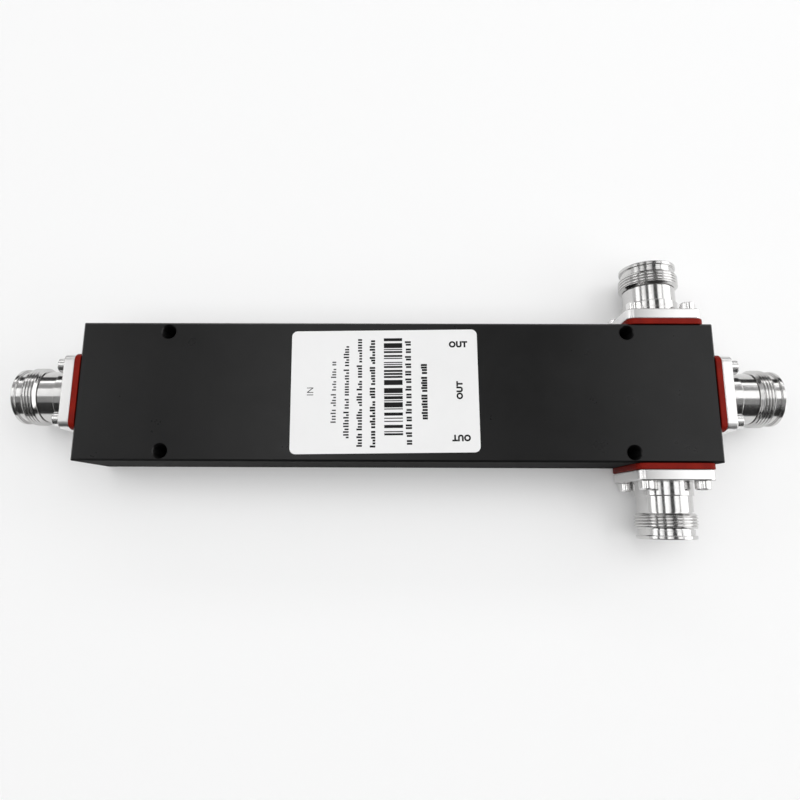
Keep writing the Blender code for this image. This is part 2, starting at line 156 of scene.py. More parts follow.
def turningMarksGroup():
    # fine rings left by the lathe, round the piece's own Z axis on its walls and on its faces
    group, entry, outlet = newGroup("TurningMarks", {"Fineness": 9000.0, "Streaks": 900.0},
                                    ("Height", "Streak"))
    place = addNode(group, "TexCoord").outputs["Object"]
    split = addNode(group, "SeparateXYZ", {"Vector": place})
    flat = addNode(group, "CombineXYZ", {"X": split.outputs["X"], "Y": split.outputs["Y"]})
    reach = addNode(group, "VectorMath", {0: flat.outputs["Vector"]}, operation="LENGTH")
    along = addNode(group, "Math", {0: reach.outputs["Value"], 1: split.outputs["Z"]}, operation="ADD")
    fine = addNode(group, "TexNoise", {"W": along.outputs["Value"], "Scale": entry.outputs["Fineness"],
                                       "Detail": 2.0}, noise_dimensions="1D")
    broad = addNode(group, "TexNoise", {"W": along.outputs["Value"], "Scale": entry.outputs["Streaks"],
                                        "Detail": 3.0}, noise_dimensions="1D")
    group.links.new(fine.outputs["Fac"], outlet.inputs["Height"])
    group.links.new(broad.outputs["Fac"], outlet.inputs["Streak"])
    return group


def millingMarksGroup():
    # fine straight marks left by milling on the sides of a flange, below a height in the piece's own frame
    group, entry, outlet = newGroup("MillingMarks", {"Top": 0.0, "Fineness": 2500.0}, ("Height", "Mask"))
    place = addNode(group, "TexCoord").outputs["Object"]
    split = addNode(group, "SeparateXYZ", {"Vector": place})
    mask = addNode(group, "Math", {0: split.outputs["Z"], 1: entry.outputs["Top"]}, operation="LESS_THAN")
    drawn = addNode(group, "VectorMath", {0: place, 1: millingStretch}, operation="MULTIPLY")
    marks = addNode(group, "TexNoise", {"Vector": drawn.outputs["Vector"],
                                        "Scale": entry.outputs["Fineness"], "Detail": 3.0})
    group.links.new(marks.outputs["Fac"], outlet.inputs["Height"])
    group.links.new(mask.outputs["Value"], outlet.inputs["Mask"])
    return group


def sideMaskGroup():
    # 1 on the upright sides of a piece, 0 on its top and bottom
    group, entry, outlet = newGroup("SideMask", {"Limit": 0.5}, ("Mask",))
    facing = addNode(group, "TexCoord").outputs["Normal"]
    split = addNode(group, "SeparateXYZ", {"Vector": facing})
    lean = addNode(group, "Math", {0: split.outputs["Z"]}, operation="ABSOLUTE")
    mask = addNode(group, "Math", {0: lean.outputs["Value"], 1: entry.outputs["Limit"]},
                   operation="LESS_THAN")
    group.links.new(mask.outputs["Value"], outlet.inputs["Mask"])
    return group


def mottleGroup():
    # slow cloudy change between two values, for gloss and tone
    group, entry, outlet = newGroup("Mottle", {"Scale": 60.0, "Low": 0.0, "High": 1.0}, ("Value",))
    place = addNode(group, "TexCoord").outputs["Object"]
    cloud = addNode(group, "TexNoise", {"Vector": place, "Scale": entry.outputs["Scale"], "Detail": 4.0,
                                        "Roughness": 0.6})
    spread = addNode(group, "MapRange", {"Value": cloud.outputs["Fac"], "From Min": noiseLow,
                                         "From Max": noiseHigh, "To Min": entry.outputs["Low"],
                                         "To Max": entry.outputs["High"]})
    group.links.new(spread.outputs["Result"], outlet.inputs["Value"])
    return group


def fineGrainGroup():
    # orange peel of a sprayed or moulded skin, with a finer grain over it
    group, entry, outlet = newGroup("FineGrain", {"Peel": 1400.0, "Grain": 9000.0, "GrainShare": 0.35},
                                    ("Height",))
    place = addNode(group, "TexCoord").outputs["Object"]
    peel = addNode(group, "TexNoise", {"Vector": place, "Scale": entry.outputs["Peel"], "Detail": 1.0})
    grain = addNode(group, "TexNoise", {"Vector": place, "Scale": entry.outputs["Grain"], "Detail": 2.0})
    both = addNode(group, "Mix", {"Factor": entry.outputs["GrainShare"], "A": peel.outputs["Fac"],
                                  "B": grain.outputs["Fac"]})
    group.links.new(both.outputs["Result"], outlet.inputs["Height"])
    return group


def edgeMaskGroup():
    # 1 on chamfers and round corners, 0 on faces square to the piece's own axes
    group, entry, outlet = newGroup("EdgeMask", {"Limit": 0.95}, ("Mask",))
    facing = addNode(group, "TexCoord").outputs["Normal"]
    lean = addNode(group, "VectorMath", {0: facing}, operation="ABSOLUTE")
    split = addNode(group, "SeparateXYZ", {"Vector": lean.outputs["Vector"]})
    level = addNode(group, "Math", {0: split.outputs["X"], 1: split.outputs["Y"]}, operation="MAXIMUM")
    most = addNode(group, "Math", {0: level.outputs["Value"], 1: split.outputs["Z"]}, operation="MAXIMUM")
    mask = addNode(group, "Math", {0: most.outputs["Value"], 1: entry.outputs["Limit"]},
                   operation="LESS_THAN")
    group.links.new(mask.outputs["Value"], outlet.inputs["Mask"])
    return group


turningMarks = turningMarksGroup()
millingMarks = millingMarksGroup()
mottle = mottleGroup()
fineGrain = fineGrainGroup()
edgeMask = edgeMaskGroup()
sideMask = sideMaskGroup()


def newMaterial(name, look):
    material = bpy.data.materials.new(name)
    material.use_nodes = True
    tree = material.node_tree
    shader = tree.nodes["Principled BSDF"]
    shader.inputs["Metallic"].default_value = look.get("metallic", 0.0)
    shader.inputs["IOR"].default_value = look.get("ior", 1.5)
    shader.inputs["Specular IOR Level"].default_value = look.get("specular", 0.5)
    return material, tree, shader


def mixColours(tree, factor, first, second):
    mix = addNode(tree, "Mix", data_type="RGBA")
    mix.inputs["A"].default_value = (*first, 1.0)
    mix.inputs["B"].default_value = (*second, 1.0)
    tree.links.new(factor, mix.inputs["Factor"])
    return mix.outputs["Result"]


def mixOver(tree, factor, colour, over):
    mix = addNode(tree, "Mix", data_type="RGBA")
    tree.links.new(colour, mix.inputs["A"])
    mix.inputs["B"].default_value = (*over, 1.0)
    tree.links.new(factor, mix.inputs["Factor"])
    return mix.outputs["Result"]


def addBump(tree, shader, height, look):
    bump = addNode(tree, "Bump", {"Height": height, "Distance": look["bumpDepth"],
                                  "Strength": look["bumpStrength"]})
    tree.links.new(bump.outputs["Normal"], shader.inputs["Normal"])


paintLook = {
    "dark": (0.0062, 0.0062, 0.0064),
    "light": (0.0093, 0.0093, 0.0095),
    # painted shade: the darker colour given to the chamfers and round corners
    "edge": (0.0020, 0.0020, 0.0021),
    "roughLow": 0.27,
    "roughHigh": 0.33,
    "sideRough": 1.0,
    "cloudScale": 28.0,
    "glossScale": 84.0,
    "bumpDepth": 0.00002,
    "bumpStrength": 0.35,
    "specular": 0.30,
    "ior": 1.46,
}


def makePaint():
    # satin black paint: clouds of tone and gloss, orange peel, and painted shade on the chamfers and round
    # corners, where the colour is darker
    material, tree, shader = newMaterial("blackPaint", paintLook)
    cloud = placeGroup(tree, mottle, Scale=paintLook["cloudScale"])
    gloss = placeGroup(tree, mottle, Scale=paintLook["glossScale"], Low=paintLook["roughLow"],
                       High=paintLook["roughHigh"])
    tone = mixColours(tree, cloud.outputs["Value"], paintLook["dark"], paintLook["light"])
    # painted shade: chamfers and round corners are coloured darker than the flats
    edge = placeGroup(tree, edgeMask)
    paintedEdgeShade = mixOver(tree, edge.outputs["Mask"], tone, paintLook["edge"])
    tree.links.new(paintedEdgeShade, shader.inputs["Base Color"])
    side = placeGroup(tree, sideMask)
    rough = addNode(tree, "Mix", {"Factor": side.outputs["Mask"], "A": gloss.outputs["Value"],
                                  "B": paintLook["sideRough"]})
    tree.links.new(rough.outputs["Result"], shader.inputs["Roughness"])
    grain = placeGroup(tree, fineGrain)
    addBump(tree, shader, grain.outputs["Height"], paintLook)
    return material


platingLook = {
    "bright": (0.65, 0.645, 0.64),
    "dull": (0.59, 0.585, 0.58),
    # painted light: the flange's sides get a lighter colour than the same plating on the barrel
    "flangePaintedLight": (0.86, 0.855, 0.85),
    "roughLow": 0.12,
    "roughHigh": 0.19,
    "milledRough": 0.31,
    "cloudScale": 220.0,
    "bumpDepth": 0.000002,
    "bumpStrength": 0.5,
    "metallic": 1.0,
}

screwLook = {
    "bright": (0.86, 0.855, 0.85),
    "dull": (0.80, 0.795, 0.79),
    "roughLow": 0.20,
    "roughHigh": 0.26,
    "cloudScale": 220.0,
    "bumpDepth": 0.000002,
    "bumpStrength": 0.5,
    "metallic": 1.0,
}

silverLook = {
    "bright": (0.90, 0.88, 0.84),
    "dull": (0.80, 0.77, 0.71),
    "roughLow": 0.14,
    "roughHigh": 0.24,
    "cloudScale": 220.0,
    "bumpDepth": 0.000002,
    "bumpStrength": 0.5,
    "metallic": 1.0,
}


def makeTurnedMetal(name, look):
    # turned and plated metal: lathe rings in the gloss and the relief, clouds of tone; on a flange, milling
    # marks, more roughness and a lighter colour that is painted light
    material, tree, shader = newMaterial(name, look)
    marks = placeGroup(tree, turningMarks)
    cloud = placeGroup(tree, mottle, Scale=look["cloudScale"])
    tone = mixColours(tree, cloud.outputs["Value"], look["dull"], look["bright"])
    gloss = addNode(tree, "MapRange", {"Value": marks.outputs["Streak"], "From Min": noiseLow,
                                       "From Max": noiseHigh, "To Min": look["roughLow"],
                                       "To Max": look["roughHigh"]})
    rough = gloss.outputs["Result"]
    height = marks.outputs["Height"]
    if "milledRough" in look:
        mill = placeGroup(tree, millingMarks, Top=flangeTop - flangeEdge)
        rougher = addNode(tree, "Mix", {"Factor": mill.outputs["Mask"], "A": rough,
                                        "B": look["milledRough"]})
        relief = addNode(tree, "Mix", {"Factor": mill.outputs["Mask"], "A": height,
                                       "B": mill.outputs["Height"]})
        rough, height = rougher.outputs["Result"], relief.outputs["Result"]
        # painted light: the flange below its top face is coloured lighter than the barrel
        tone = mixOver(tree, mill.outputs["Mask"], tone, look["flangePaintedLight"])
    tree.links.new(tone, shader.inputs["Base Color"])
    tree.links.new(rough, shader.inputs["Roughness"])
    addBump(tree, shader, height, look)
    return material


siliconeLook = {
    "deep": (0.160, 0.0045, 0.0015),
    "pale": (0.232, 0.0095, 0.0030),
    "roughLow": 0.42,
    "roughHigh": 0.58,
    "cloudScale": 260.0,
    "glossScale": 520.0,
    "bumpDepth": 0.00003,
    "bumpStrength": 0.4,
    "specular": 0.15,
    "ior": 1.42,
}

ptfeLook = {
    "deep": (0.76, 0.76, 0.74),
    "pale": (0.86, 0.86, 0.85),
    "roughLow": 0.38,
    "roughHigh": 0.52,
    "cloudScale": 300.0,
    "glossScale": 600.0,
    "bumpDepth": 0.00001,
    "bumpStrength": 0.4,
    "ior": 1.36,
}

filmLook = {
    "deep": (0.84, 0.84, 0.84),
    "pale": (0.87, 0.87, 0.87),
    "roughLow": 0.30,
    "roughHigh": 0.38,
    "cloudScale": 45.0,
    "glossScale": 90.0,
    "bumpDepth": 0.000012,
    "bumpStrength": 0.4,
    "ior": 1.46,
}

inkLook = {
    "deep": (0.006, 0.006, 0.0065),
    "pale": (0.011, 0.011, 0.0115),
    "roughLow": 0.42,
    "roughHigh": 0.55,
    "cloudScale": 300.0,
    "glossScale": 600.0,
    "bumpDepth": 0.000006,
    "bumpStrength": 0.4,
    "specular": 0.2,
    "ior": 1.46,
}

greyInkLook = {
    "deep": (0.035, 0.035, 0.036),
    "pale": (0.060, 0.060, 0.061),
    "roughLow": 0.42,
    "roughHigh": 0.55,
    "cloudScale": 300.0,
    "glossScale": 600.0,
    "bumpDepth": 0.000006,
    "bumpStrength": 0.4,
    "ior": 1.46,
}


def makeSoftSkin(name, look):
    # moulded, turned or printed plastic: clouds of tone and gloss over a fine grain
    material, tree, shader = newMaterial(name, look)
    cloud = placeGroup(tree, mottle, Scale=look["cloudScale"])
    gloss = placeGroup(tree, mottle, Scale=look["glossScale"], Low=look["roughLow"],
                       High=look["roughHigh"])
    grain = placeGroup(tree, fineGrain)
    tree.links.new(mixColours(tree, cloud.outputs["Value"], look["deep"], look["pale"]),
                   shader.inputs["Base Color"])
    tree.links.new(gloss.outputs["Value"], shader.inputs["Roughness"])
    addBump(tree, shader, grain.outputs["Height"], look)
    return material


blackPaint = makePaint()
brightPlating = makeTurnedMetal("brightPlating", platingLook)
screwSteel = makeTurnedMetal("screwSteel", screwLook)
silverPlating = makeTurnedMetal("silverPlating", silverLook)
redSilicone = makeSoftSkin("redSilicone", siliconeLook)
whitePtfe = makeSoftSkin("whitePtfe", ptfeLook)
labelFilm = makeSoftSkin("labelFilm", filmLook)
blackInk = makeSoftSkin("blackInk", inkLook)
greyInk = makeSoftSkin("greyInk", greyInkLook)
print("Materials made")


# Mesh helpers

supportWidth = 0.00005  # band beside a rounded edge that keeps the flat next to it flat
roundedSharp = 75  # angles in degrees past which an edge is shaded sharp: on pieces with rounded edges,
chamferedSharp = 40  # on pieces with chamfers,
facetedSharp = 20  # and on faceted pieces
quadrants = ((1, 1), (-1, 1), (-1, -1), (1, -1))  # signs of X and Y in each, in turn


def meshFrom(bm, name, material, sharpAngle=roundedSharp):
    bmesh.ops.recalc_face_normals(bm, faces=bm.faces)
    mesh = bpy.data.meshes.new(name)
    bm.to_mesh(mesh)
    bm.free()
    mesh.materials.append(material)
    mesh.shade_smooth()
    mesh.set_sharp_from_angle(angle=math.radians(sharpAngle))
    return mesh


def addPiece(name, mesh, place, slotName, *nodes):
    piece = bpy.data.objects.new(name, mesh)
    bpy.context.collection.objects.link(piece)
    piece.matrix_world = place
    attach(piece, rootBody)
    if nodes:
        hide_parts(*nodes)
    return piece


def combine(mesh, tools, sharpAngle=roundedSharp):
    # cuts or joins with each (operation, mesh) in turn and returns the finished mesh
    base = bpy.data.objects.new("combineBase", mesh)
    helpers = [base]
    bpy.context.collection.objects.link(base)
    for operation, toolMesh in tools:
        helper = bpy.data.objects.new("combineTool", toolMesh)
        bpy.context.collection.objects.link(helper)
        helpers.append(helper)
        modifier = base.modifiers.new("combine", "BOOLEAN")
        modifier.operation = operation
        modifier.solver = "EXACT"
        modifier.object = helper
    graph = bpy.context.evaluated_depsgraph_get()
    made = bpy.data.meshes.new_from_object(base.evaluated_get(graph))
    for helper in helpers:
        bpy.data.objects.remove(helper, do_unlink=True)
    made.shade_smooth()
    made.set_sharp_from_angle(angle=math.radians(sharpAngle))
    return made


def roundedPath(corners, steps=3):
    # (radius, height, rounding) corners to (radius, height) points with small arcs and support bands
    path = []
    for index, (radius, height, rounding) in enumerate(corners):
        here = Vector((radius, height))
        if rounding == 0:
            path.append((radius, height))
            continue
        toBefore = (Vector(corners[index - 1][:2]) - here).normalized()
        toAfter = (Vector(corners[(index + 1) % len(corners)][:2]) - here).normalized()
        reach = rounding / math.tan(toBefore.angle(toAfter) / 2)
        start = here + toBefore * reach
        end = here + toAfter * reach
        path.append(tuple(start + toBefore * supportWidth))
        for step in range(steps + 1):
            share = step / steps
            blend = start * (1 - share) ** 2 + here * (2 * share * (1 - share)) + end * share ** 2
            path.append(tuple(blend))
        path.append(tuple(end + toAfter * supportWidth))
    return path


def lathe(bm, path, sides, closed=False, place=Matrix()):
    # path holds (radius, height); a radius may be a function of the turn angle
    rings = []
    for radius, height in path:
        if radius == 0:
            rings.append([bm.verts.new(place @ Vector((0, 0, height)))])
            continue
        ring = []
        for step in range(sides):
            turn = math.tau * step / sides
            reach = radius(turn) if callable(radius) else radius
            point = Vector((reach * math.cos(turn), reach * math.sin(turn), height))
            ring.append(bm.verts.new(place @ point))
        rings.append(ring)
    pairs = list(zip(rings, rings[1:]))
    if closed:
        pairs.append((rings[-1], rings[0]))
    for lower, upper in pairs:
        for step in range(sides):
            after = (step + 1) % sides
            corners = (lower[step % len(lower)], lower[after % len(lower)],
                       upper[after % len(upper)], upper[step % len(upper)])
            bm.faces.new(list(dict.fromkeys(corners)))


def roundedOutline(length, width, corner, inset, steps):
    corner = max(corner - inset, supportWidth)
    middleX = length / 2 - inset - corner
    middleY = width / 2 - inset - corner
    points = []
    for quarter, (signX, signY) in enumerate(quadrants):
        for step in range(steps + 1):
            turn = (quarter + step / steps) * math.pi / 2
            points.append((signX * middleX + corner * math.cos(turn),
                           signY * middleY + corner * math.sin(turn)))
    return points


def softPlate(bm, length, width, corner, low, high, edge, cornerSteps=8, edgeSteps=4):
    # plate with round upright corners and rounded edges on both faces; a single edge step chamfers them
    levels = [(edge + supportWidth, 0.0)]
    for step in range(edgeSteps + 1):
        lean = math.pi / 2 * step / edgeSteps
        levels.append((edge * (1 - math.sin(lean)), edge * (1 - math.cos(lean))))
    levels.append((0.0, edge + supportWidth))
    levels = [(inset, low + rise) for inset, rise in levels] + \
             [(inset, high - rise) for inset, rise in reversed(levels)]
    rings = []
    for inset, height in levels:
        outline = roundedOutline(length, width, corner, inset, cornerSteps)
        rings.append([bm.verts.new((x, y, height)) for x, y in outline])
    for lower, upper in zip(rings, rings[1:]):
        for index in range(len(lower)):
            after = (index + 1) % len(lower)
            bm.faces.new((lower[index], lower[after], upper[after], upper[index]))
    bm.faces.new(list(reversed(rings[0])))
    bm.faces.new(rings[-1])


def cylinderTool(bm, radius, low, high, sides, place=Matrix()):
    lathe(bm, ((0, low), (radius, low), (radius, high), (0, high)), sides, place=place)


def cornerPlaces(offset, height=0.0):
    return [Matrix.Translation((x * offset, y * offset, height)) for x, y in quadrants]


# Screws, and the holes that they pass through

screw = {
    "inset": 0.00355,
    "shankRadius": 0.0015,
    "length": 0.0120,
    "headRadius": 0.0025,
    "headHeight": 0.0029,
    "rimChamfer": 0.00040,
    "underRounding": 0.00008,
    "pointChamfer": 0.00015,
    "sides": 72,
    "keySize": 0.0025,
    "keyDepth": 0.0014,
    "keyBevel": 0.00015,
    "keyBevelSides": 48,
    "holeClearance": 0.0003,
    "holeSides": 40,
    "seed": 7,  # picks how far each is turned
}
screwOffset = flangeSize / 2 - screw["inset"]
seat = 0.00002  # hair between pieces that are pressed together
screwHoleRadius = screw["shankRadius"] + screw["holeClearance"]
past = 0.001  # how far a cutting tool runs past what it cuts


# Shells

def threadRadiusAt(height):
    # radius of the thread at a height, as a function of the turn angle
    crest = socket["threadRadius"]
    atStart = crest - socket["threadRunOut"] + height - threadStart
    drop = socket["threadLeadDrop"]
    atEnd = crest - drop + (threadEnd - height) * drop / socket["threadLead"]
    envelope = min(atStart, atEnd)
    flank = 1 - socket["crestShare"] - socket["rootShare"]

    def radius(turn):
        phase = ((height - threadStart) / socket["threadPitch"] - turn / math.tau) % 1
        away = abs(phase - 0.5) * 2  # 0 on the crest, 1 in the root
        depth = min(max((away - socket["crestShare"]) / flank, 0), 1)
        return min(envelope, crest - socket["threadDepth"] * depth)

    return radius


def threadPath():
    rows = socket["threadRows"]
    heights = [threadStart + (threadEnd - threadStart) * row / rows for row in range(rows + 1)]
    return [(threadRadiusAt(height), height) for height in heights]


def makeShellMesh():
    # flange and barrel in one piece; the barrel is turned, with a real thread
    rounding = socket["rounding"]
    foot, neck, groove, rim = (socket[key + "Radius"] for key in ("foot", "neck", "groove", "rim"))
    threadFoot = socket["threadRadius"] - socket["threadRunOut"]
    threadTip = socket["threadRadius"] - socket["threadLeadDrop"]
    reliefStart = threadStart - socket["reliefWidth"]
    reliefEnd = threadEnd + socket["reliefWidth"]
    relief = neck - socket["reliefDepth"]
    mouth = socket["mouthRadius"]
    leadIn = socket["leadIn"]
    lower = roundedPath((
        (0, (flangeBack + flangeTop) / 2, 0),
        (foot, (flangeBack + flangeTop) / 2, 0),
        (foot, footEnd, rounding),
        (neck, footEnd, rounding),
        (neck, reliefStart, 0),
        (relief, reliefStart, 0),
        (relief, threadStart, 0),
        (threadFoot, threadStart, 0),
    ))
    upper = roundedPath((
        (threadTip, threadEnd, 0),
        (relief, threadEnd, 0),
        (relief, reliefEnd, 0),
        (groove, reliefEnd, 0),
        (groove, rimStart, rounding),
        (rim, rimStart, rounding),
        (rim, matingEnd, 2 * rounding),
        (mouth + leadIn, matingEnd, rounding),
        (mouth, matingEnd - leadIn, rounding),
        (mouth, mouthFloor, 2 * rounding),
        (0, mouthFloor, 0),
    ))
    bm = bmesh.new()
    lathe(bm, lower[:-1] + threadPath() + upper[1:], socket["sides"])
    barrel = meshFrom(bm, "barrel", brightPlating)
    bm = bmesh.new()
    softPlate(bm, flangeSize, flangeSize, socket["flangeCorner"], flangeBack, flangeTop, flangeEdge)
    flange = meshFrom(bm, "socketShell", brightPlating)
    bm = bmesh.new()
    pocketEnd = flangeBack + socket["pocketDepth"]
    lathe(bm, ((0, flangeBack - past), (socket["pocketRadius"], flangeBack - past),
               (socket["pocketRadius"], pocketEnd), (socket["boreRadius"], pocketEnd),
               (socket["boreRadius"], mouthFloor + past), (0, mouthFloor + past)), socket["boreSides"])
    for corner in cornerPlaces(screwOffset):
        cylinderTool(bm, screwHoleRadius, flangeBack - past, flangeTop + past, screw["holeSides"], corner)
    holes = meshFrom(bm, "shellHoles", brightPlating)
    return combine(flange, (("UNION", barrel), ("DIFFERENCE", holes)))


# What sits round and inside a shell

gasket = {
    "size": flangeSize + 0.0005,
    "corner": 0.0029,
    "edge": 0.00025,
    "openingRadius": 0.0054,
}


def makeGasketMesh():
    # moulded silicone plate, pressed between the bar and the flange
    bm = bmesh.new()
    softPlate(bm, gasket["size"], gasket["size"], gasket["corner"], seat, flangeBack - seat, gasket["edge"])
    plate = meshFrom(bm, "gasketPlate", redSilicone)
    bm = bmesh.new()
    cylinderTool(bm, gasket["openingRadius"], -past, flangeBack + past, socket["boreSides"])
    for corner in cornerPlaces(screwOffset):
        cylinderTool(bm, screwHoleRadius, -past, flangeBack + past, screw["holeSides"], corner)
    holes = meshFrom(bm, "gasketHoles", redSilicone)
    return combine(plate, (("DIFFERENCE", holes),))


insulator = {
    "recess": 0.0008,
    "edge": 0.0002,
    "contactNeck": 0.0015,
    "sides": 96,
}


def makeInsulatorMesh():
    # turned ring with its collar behind the flange's pocket
    back = flangeBack + seat
    shoulder = flangeBack + socket["pocketDepth"] - seat
    front = mouthFloor - insulator["recess"]
    body = socket["boreRadius"] - seat
    collar = socket["pocketRadius"] - seat
    hole = insulator["contactNeck"] + seat
    edge = insulator["edge"]
    path = roundedPath(((hole, back, 0), (collar, back, edge), (collar, shoulder, edge),
                        (body, shoulder, 0), (body, front, edge), (hole, front, edge / 2)))
    bm = bmesh.new()
    lathe(bm, path, insulator["sides"], closed=True)
    return meshFrom(bm, "insulatorRing", whitePtfe, chamferedSharp)


contact = {
    "radius": 0.00215,
    "recess": 0.0048,
    "holeRadius": 0.00125,
    "holeDepth": 0.0050,
    "tip": 0.0004,
    "slotWidth": 0.0005,
    "slotDepth": 0.0042,
    "pinRadius": 0.0012,
    "pinLength": 0.0040,
    "sides": 64,
}


def makeContactMesh(name):
    # slotted socket contact; its back end reaches as far into the bar as the CAD's
    centre, way, _ = portSpan(name)
    low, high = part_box(name + "_contact")
    pinEnd = min(way.dot(low), way.dot(high)) - way.dot(centre)
    shoulder = pinEnd + contact["pinLength"]
    tip = matingEnd - contact["recess"]
    radius, hole, edge = contact["radius"], contact["holeRadius"], contact["tip"]
    neck = insulator["contactNeck"]
    front = mouthFloor - insulator["recess"] + seat
    path = roundedPath((
        (0, pinEnd, 0), (contact["pinRadius"], pinEnd, edge / 2), (contact["pinRadius"], shoulder, 0),
        (radius, shoulder, edge / 2), (radius, flangeBack, edge / 2), (neck, flangeBack, 0),
        (neck, front, 0), (radius, front, edge / 4), (radius, tip, edge), (hole, tip, edge / 3),
        (hole, tip - contact["holeDepth"], 0), (0, tip - contact["holeDepth"] - hole / 2, 0),
    ))
    bm = bmesh.new()
    lathe(bm, path, contact["sides"])
    body = meshFrom(bm, "contactBody", silverPlating, chamferedSharp)
    bm = bmesh.new()
    height = contact["slotDepth"] + past
    middle = Matrix.Translation((0, 0, tip + past - height / 2))
    wide = 2 * (radius + past)
    for size in ((wide, contact["slotWidth"]), (contact["slotWidth"], wide)):
        bmesh.ops.create_cube(bm, size=1, matrix=middle @ Matrix.Diagonal((*size, height, 1)))
    slots = meshFrom(bm, "contactSlots", silverPlating)
    return combine(body, (("DIFFERENCE", slots),), chamferedSharp)


def makeScrewMesh():
    # cap screw with a plain turned head and a hexagon socket; its origin is under the head
    radius = screw["headRadius"]
    top = screw["headHeight"]
    shank = screw["shankRadius"]
    tip = -screw["length"]
    point = screw["pointChamfer"]
    rim = screw["rimChamfer"]
    path = roundedPath(((0, tip, 0), (shank - point, tip, 0), (shank, tip + point, 0), (shank, seat, 0),
                        (radius, seat, screw["underRounding"]), (radius, top - rim, rim / 4),
                        (radius - rim, top, rim / 4), (0, top, 0)))
    bm = bmesh.new()
    lathe(bm, path, screw["sides"])
    body = meshFrom(bm, "capScrew", screwSteel, chamferedSharp)
    hexagon = 6
    keyRadius = screw["keySize"] / 2 / math.cos(math.pi / hexagon)
    floor = top - screw["keyDepth"]
    bm = bmesh.new()
    lathe(bm, ((0, floor - keyRadius / 3), (keyRadius, floor), (keyRadius, top + past), (0, top + past)),
          hexagon)
    key = meshFrom(bm, "screwKey", screwSteel, facetedSharp)
    bevel = screw["keyBevel"]
    over = bevel / 3
    bm = bmesh.new()
    lathe(bm, ((0, top - bevel), (keyRadius, top - bevel), (keyRadius + bevel + over, top + over),
               (0, top + over)), screw["keyBevelSides"])
    keyBevel = meshFrom(bm, "screwKeyBevel", screwSteel, facetedSharp)
    return combine(body, (("DIFFERENCE", key), ("DIFFERENCE", keyBevel)), chamferedSharp)


def buildSockets():
    shellMesh = makeShellMesh()
    gasketMesh = makeGasketMesh()
    insulatorMesh = makeInsulatorMesh()
    screwMesh = makeScrewMesh()
    spin = random.Random(screw["seed"])
    for name in portWays:
        place = portPlace(name)
        addPiece(name + "_shell", shellMesh, place, "bright_plating", name + "_socket_shell")
        addPiece(name + "_seal", gasketMesh, place, "red_silicone", name + "_gasket")
        addPiece(name + "_dielectric", insulatorMesh, place, "white_ptfe", name + "_insulator")
        addPiece(name + "_pin_socket", makeContactMesh(name), place, "silver_plating", name + "_contact")
        for number, corner in enumerate(cornerPlaces(screwOffset, flangeTop), 1):
            turned = Matrix.Rotation(spin.uniform(0, math.tau), 4, "Z")
            addPiece(f"{name}_cap_screw_{number}", screwMesh, place @ corner @ turned, "screw_steel",
                     f"{name}_screw_{number}")


buildSockets()
print("Sockets built")


# Bar

bar = {
    "edge": 0.0006,
    "corner": 0.0004,
    "lineBoreRadius": 0.0090,
    "lineBoreEnd": 0.0022,  # past the junction block
    "boreSides": 64,
    "holeRadius": 0.00225,
    "holeChamfer": 0.0003,
    "holeEndInset": 0.0289,
    "holeSideInset": 0.0032,
    "holeSides": 48,
    "screwDepth": 0.0073,
    "screwHoleSides": 24,
}
barSize = barHigh - barLow
lineHeight = (barLow.z + barHigh.z) / 2


def alongWay(way, centre=(0, 0, 0)):
    return Matrix.Translation(centre) @ Vector(way).to_track_quat("Z", "Y").to_matrix().to_4x4()


def makeBarMesh():
    # bored and drilled bar with chamfered edges
    bm = bmesh.new()
    softPlate(bm, barSize.x, barSize.y, bar["corner"], 0, barSize.z, bar["edge"],
              cornerSteps=4, edgeSteps=1)
    body = meshFrom(bm, "barBody", blackPaint)
    bm = bmesh.new()
    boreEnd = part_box("junction_block")[1].x + bar["lineBoreEnd"]
    reach = barSize.x / 2 + past
    lathe(bm, ((0, -reach), (bar["lineBoreRadius"], -reach), (bar["lineBoreRadius"], boreEnd),
               (socket["boreRadius"], boreEnd), (socket["boreRadius"], reach), (0, reach)),
          bar["boreSides"], place=alongWay((1, 0, 0), (0, 0, lineHeight)))
    lineBore = meshFrom(bm, "lineBore", blackPaint)
    bm = bmesh.new()
    sideCentre = portSpan("output_left")[0]
    reach = barSize.y / 2 + past
    cylinderTool(bm, socket["boreRadius"], -reach, reach, bar["boreSides"],
                 alongWay((0, 1, 0), (sideCentre.x, 0, lineHeight)))
    sideBore = meshFrom(bm, "sideBore", blackPaint)
    bm = bmesh.new()
    radius = bar["holeRadius"]
    wide = radius + bar["holeChamfer"]
    top = barSize.z
    path = ((0, -past), (wide, -past), (wide, 0), (radius, bar["holeChamfer"]),
            (radius, top - bar["holeChamfer"]), (wide, top), (wide, top + past), (0, top + past))
    x = barSize.x / 2 - bar["holeEndInset"]
    y = barSize.y / 2 - bar["holeSideInset"]
    for signX, signY in quadrants:
        lathe(bm, path, bar["holeSides"], place=Matrix.Translation((signX * x, signY * y, 0)))
    for name in portWays:
        for corner in cornerPlaces(screwOffset):
            cylinderTool(bm, screwHoleRadius, -bar["screwDepth"], past, bar["screwHoleSides"],
                         portPlace(name) @ corner)
    holes = meshFrom(bm, "barHoles", blackPaint)
    tools = (("DIFFERENCE", lineBore), ("DIFFERENCE", sideBore), ("DIFFERENCE", holes))
    return combine(body, tools, chamferedSharp)


addPiece("bar", makeBarMesh(), Matrix.Identity(4), "black_paint", "housing_bar")

for nodeName, material in (("inner_conductor", silverPlating), ("junction_block", silverPlating),
                           ("support_bead_1", whitePtfe), ("support_bead_2", whitePtfe)):
    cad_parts[nodeName].material_slots[0].material = material
print("Bar built")


# Label and its print

